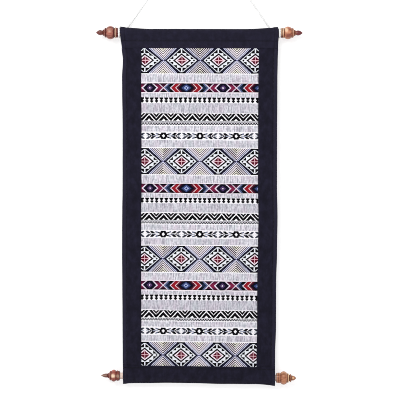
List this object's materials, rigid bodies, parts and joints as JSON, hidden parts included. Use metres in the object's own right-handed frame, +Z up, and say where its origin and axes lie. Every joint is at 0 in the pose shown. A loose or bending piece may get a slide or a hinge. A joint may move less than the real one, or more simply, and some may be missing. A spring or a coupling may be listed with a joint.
{
  "type": "cotton wall hanging with rods and hanging cord",
  "caption": "Woven cotton panel in a plain navy border, held flat by a round wooden rod with turned finials at the top and at the foot, and hung by a white cord.",
  "frame": {"origin": "inside top of the hanging loop, where a nail or hook bears", "axes": "+Z up, +X to the right as seen from the front, the front faces -Y"},
  "size_m": [0.5172, 0.0349, 1.1866],
  "materials": {
    "brocade": "woven cotton brocade, pale ground with dark figures",
    "navy_cotton": "plain weave cotton, matte",
    "rod_wood": "smooth dowel, light stain",
    "finial_wood": "turned, stained and satin varnished",
    "white_cord": "twisted cotton cord"
  },
  "bodies": {
    "root": {"woven_panel": "brocade", "border_left": "navy_cotton", "border_right": "navy_cotton", "border_top": "navy_cotton", "border_bottom": "navy_cotton", "rod_top": "rod_wood", "rod_bottom": "rod_wood", "finial_top_left": "finial_wood", "finial_top_right": "finial_wood", "finial_bottom_left": "finial_wood", "finial_bottom_right": "finial_wood", "cord_tie_left": "white_cord", "cord_tie_right": "white_cord", "cord_leg_left": "white_cord", "cord_leg_right": "white_cord", "cord_loop": "white_cord"}
  },
  "joints": []
}
